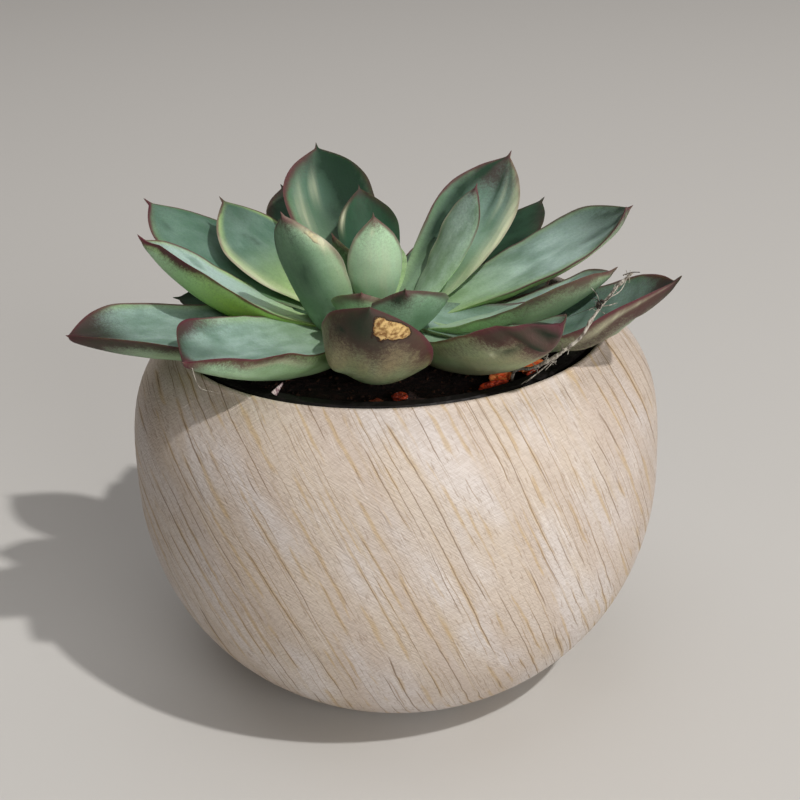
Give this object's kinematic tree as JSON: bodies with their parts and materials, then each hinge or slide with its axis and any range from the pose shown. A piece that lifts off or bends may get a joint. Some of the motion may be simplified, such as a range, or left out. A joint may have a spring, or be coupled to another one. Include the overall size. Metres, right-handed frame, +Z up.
{
  "type": "potted succulent",
  "caption": "Rosette succulent growing in a black nursery pot that stands inside a round outer pot with a pale wood-grain finish.",
  "frame": {"origin": "middle of the outer pot's flat base", "axes": "+Z up along the pot's axis, -Y towards the front of the plant, +X to the right seen from the front"},
  "size_m": [0.1192, 0.112, 0.1089],
  "materials": {
    "pot_print": "matte cream with a printed wood grain and a fine linen emboss",
    "black_plastic": "satin black moulded plastic",
    "soil": "dark crumbly potting mix",
    "leaf_skin": "blue-green waxy leaf skin with dark red margins",
    "orange_bark": "damp orange bark",
    "red_bark": "damp red-brown bark",
    "dry_straw": "dry grey stalk",
    "dry_scale": "papery dried leaf scale"
  },
  "bodies": {
    "root": {"outer_pot": "pot_print", "nursery_pot": "black_plastic", "soil": "soil", "rosette": "leaf_skin", "bark_chip_1": "orange_bark", "bark_chip_2": "orange_bark", "bark_chip_3": "red_bark", "bark_chip_4": "red_bark", "bark_chip_5": "red_bark", "bark_chip_6": "orange_bark", "dry_stalk": "dry_straw", "dry_sliver": "dry_scale"}
  },
  "joints": []
}
